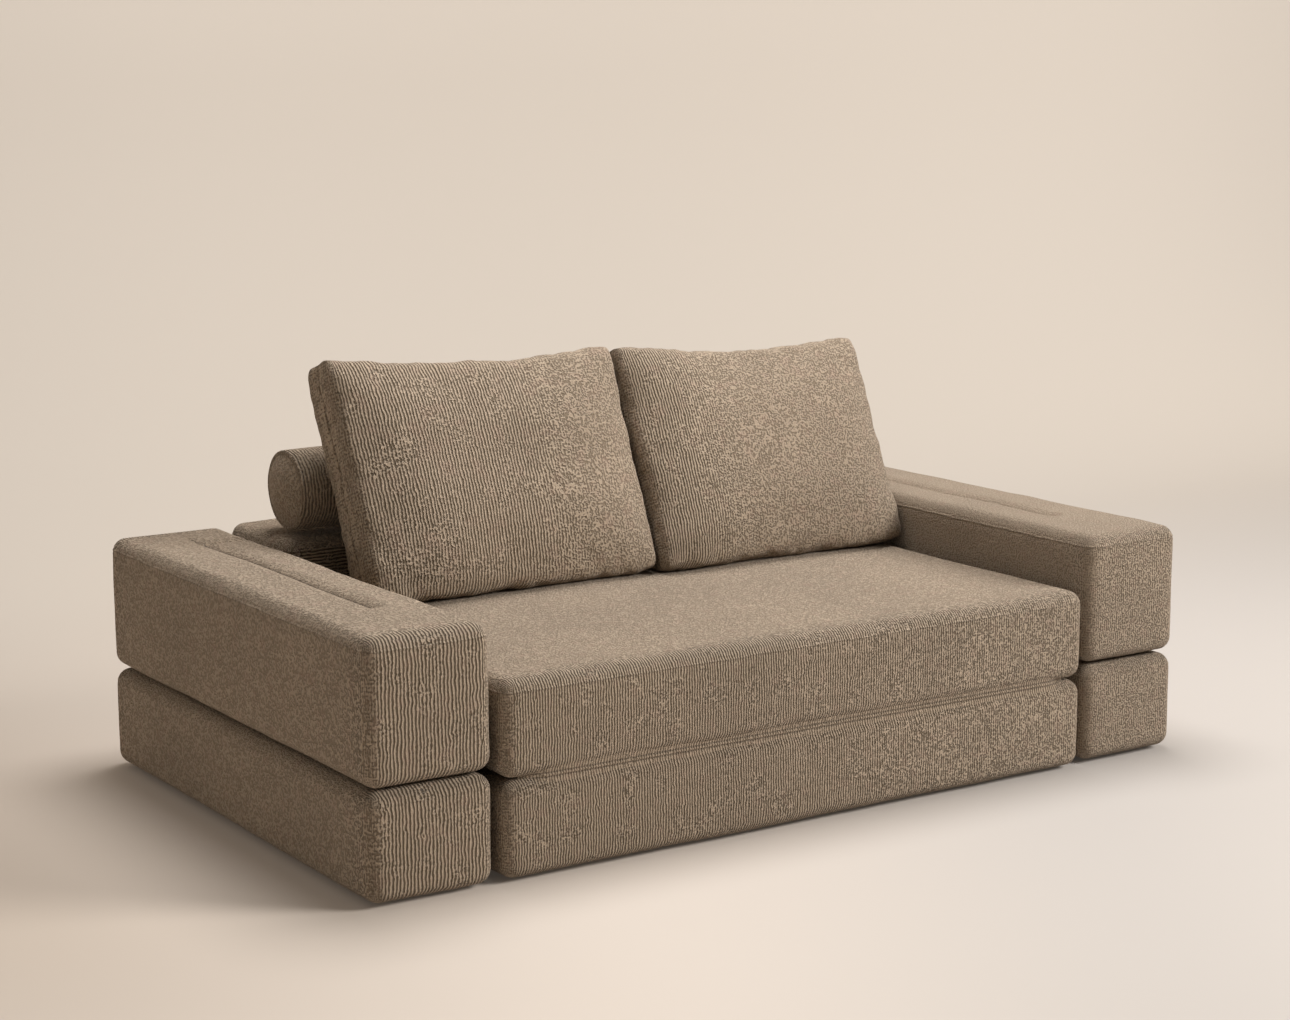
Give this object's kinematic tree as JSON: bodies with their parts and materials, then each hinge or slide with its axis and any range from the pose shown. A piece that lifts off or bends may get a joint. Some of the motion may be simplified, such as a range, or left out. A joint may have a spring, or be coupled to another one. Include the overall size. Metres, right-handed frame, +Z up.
{
  "type": "sofa bed",
  "caption": "Low sofa bed of stacked soft blocks in ribbed fabric, with a fold-out mattress, lift-off arm tops, a bolster and loose back pillows.",
  "frame": {"origin": "on the floor under the middle of the sofa: the centre of the footprint, at the height of the glides' undersides", "axes": "+X along the sofa to the sitter's left (the viewer's right), +Y towards the back, +Z up; the sofa faces -Y"},
  "size_m": [2.2398, 1.36, 1.0054],
  "materials": {
    "cover_fabric": "matte",
    "foam": "matte",
    "comfort_foam": "matte",
    "plywood": "matte",
    "glide_plastic": "matte",
    "hook_and_loop": "matte",
    "zip_metal": "satin",
    "zip_tape": "matte",
    "steel": "satin"
  },
  "bodies": {
    "root": {"arm_base_cover_left": "cover_fabric", "arm_base_cover_right": "cover_fabric", "arm_base_foam_left": "foam", "arm_base_foam_right": "foam", "arm_base_board_left": "plywood", "arm_base_board_right": "plywood", "arm_base_glides_left": "glide_plastic", "arm_base_glides_right": "glide_plastic", "arm_base_zip_left": "zip_tape", "arm_base_zip_right": "zip_tape", "arm_hook_strips_left": "hook_and_loop", "arm_hook_strips_right": "hook_and_loop", "seat_base_cover": "cover_fabric", "seat_base_foam": "foam", "seat_base_board": "plywood", "seat_base_glides": "glide_plastic", "seat_base_zip": "zip_tape", "fold_strip_lower": "cover_fabric", "back_base_cover": "cover_fabric", "back_base_foam": "foam", "back_base_board": "plywood", "back_base_glides": "glide_plastic", "back_base_zip": "zip_tape", "back_hook_strips": "hook_and_loop", "joining_plates": "steel", "joining_screws": "steel"},
    "mattress": {"mattress_cover": "cover_fabric", "mattress_foam": "foam", "mattress_comfort_layer": "comfort_foam", "mattress_zip": "zip_tape", "fold_strip_upper": "cover_fabric"},
    "arm_top_left": {"arm_loop_strips_left": "hook_and_loop", "arm_top_cover_left": "cover_fabric", "arm_top_foam_left": "foam", "arm_top_zip_left": "zip_tape"},
    "arm_top_right": {"arm_loop_strips_right": "hook_and_loop", "arm_top_cover_right": "cover_fabric", "arm_top_foam_right": "foam", "arm_top_zip_right": "zip_tape"},
    "back_top": {"back_loop_strips": "hook_and_loop", "back_top_cover": "cover_fabric", "back_top_foam": "foam", "back_top_zip": "zip_tape"},
    "bolster": {"bolster_cover": "cover_fabric", "bolster_foam": "foam"},
    "pillow_left": {"pillow_cover_left": "cover_fabric", "pillow_fill_left": "foam"},
    "pillow_right": {"pillow_cover_right": "cover_fabric", "pillow_fill_right": "foam"},
    "arm_base_slider_left": {"arm_base_slider_left": "zip_metal"},
    "arm_base_slider_right": {"arm_base_slider_right": "zip_metal"},
    "arm_top_slider_left": {"arm_top_slider_left": "zip_metal"},
    "arm_top_slider_right": {"arm_top_slider_right": "zip_metal"},
    "seat_base_slider": {"seat_base_slider": "zip_metal"},
    "mattress_slider": {"mattress_slider": "zip_metal"},
    "back_base_slider": {"back_base_slider": "zip_metal"},
    "back_top_slider": {"back_top_slider": "zip_metal"}
  },
  "joints": [
    {"name": "seat_unfold", "type": "hinge", "parent": "root", "child": "mattress", "pos_m": [0, -0.6803, 0.222], "axis": [1, 0, 0], "range_deg": [0, 180]},
    {"name": "pillow_left_carry", "type": "hinge", "parent": "mattress", "child": "pillow_left", "pos_m": [0, 0.335, 0.4434], "axis": [1, 0, 0], "range_deg": [-180, 0]},
    {"name": "pillow_right_carry", "type": "hinge", "parent": "mattress", "child": "pillow_right", "pos_m": [0, 0.335, 0.4434], "axis": [1, 0, 0], "range_deg": [-180, 0]},
    {"name": "arm_top_left_lift", "type": "slide", "parent": "root", "child": "arm_top_left", "axis": [0, 0, 1], "range_m": [0, 0.4]},
    {"name": "arm_top_right_lift", "type": "slide", "parent": "root", "child": "arm_top_right", "axis": [0, 0, 1], "range_m": [0, 0.4]},
    {"name": "back_top_lift", "type": "slide", "parent": "root", "child": "back_top", "axis": [0, 0.7071, 0.7071], "range_m": [0, 0.35]},
    {"name": "bolster_lift", "type": "slide", "parent": "back_top", "child": "bolster", "axis": [0, 0.7071, 0.7071], "range_m": [0, 0.3]},
    {"name": "arm_base_slider_left_pull", "type": "slide", "parent": "root", "child": "arm_base_slider_left", "axis": [0, -1, 0], "range_m": [0, 1.1]},
    {"name": "arm_base_slider_right_pull", "type": "slide", "parent": "root", "child": "arm_base_slider_right", "axis": [0, -1, 0], "range_m": [0, 1.1]},
    {"name": "arm_top_slider_left_pull", "type": "slide", "parent": "arm_top_left", "child": "arm_top_slider_left", "axis": [0, -1, 0], "range_m": [0, 1.1]},
    {"name": "arm_top_slider_right_pull", "type": "slide", "parent": "arm_top_right", "child": "arm_top_slider_right", "axis": [0, -1, 0], "range_m": [0, 1.1]},
    {"name": "seat_base_slider_pull", "type": "slide", "parent": "root", "child": "seat_base_slider", "axis": [1, 0, 0], "range_m": [0, 1.36]},
    {"name": "mattress_slider_pull", "type": "slide", "parent": "mattress", "child": "mattress_slider", "axis": [1, 0, 0], "range_m": [0, 1.36]},
    {"name": "back_base_slider_pull", "type": "slide", "parent": "root", "child": "back_base_slider", "axis": [1, 0, 0], "range_m": [0, 1.36]},
    {"name": "back_top_slider_pull", "type": "slide", "parent": "back_top", "child": "back_top_slider", "axis": [1, 0, 0], "range_m": [0, 1.36]}
  ],
  "couplings": [
    {"joint": "pillow_left_carry", "follows": "seat_unfold", "ratio": -1},
    {"joint": "pillow_right_carry", "follows": "seat_unfold", "ratio": -1}
  ]
}
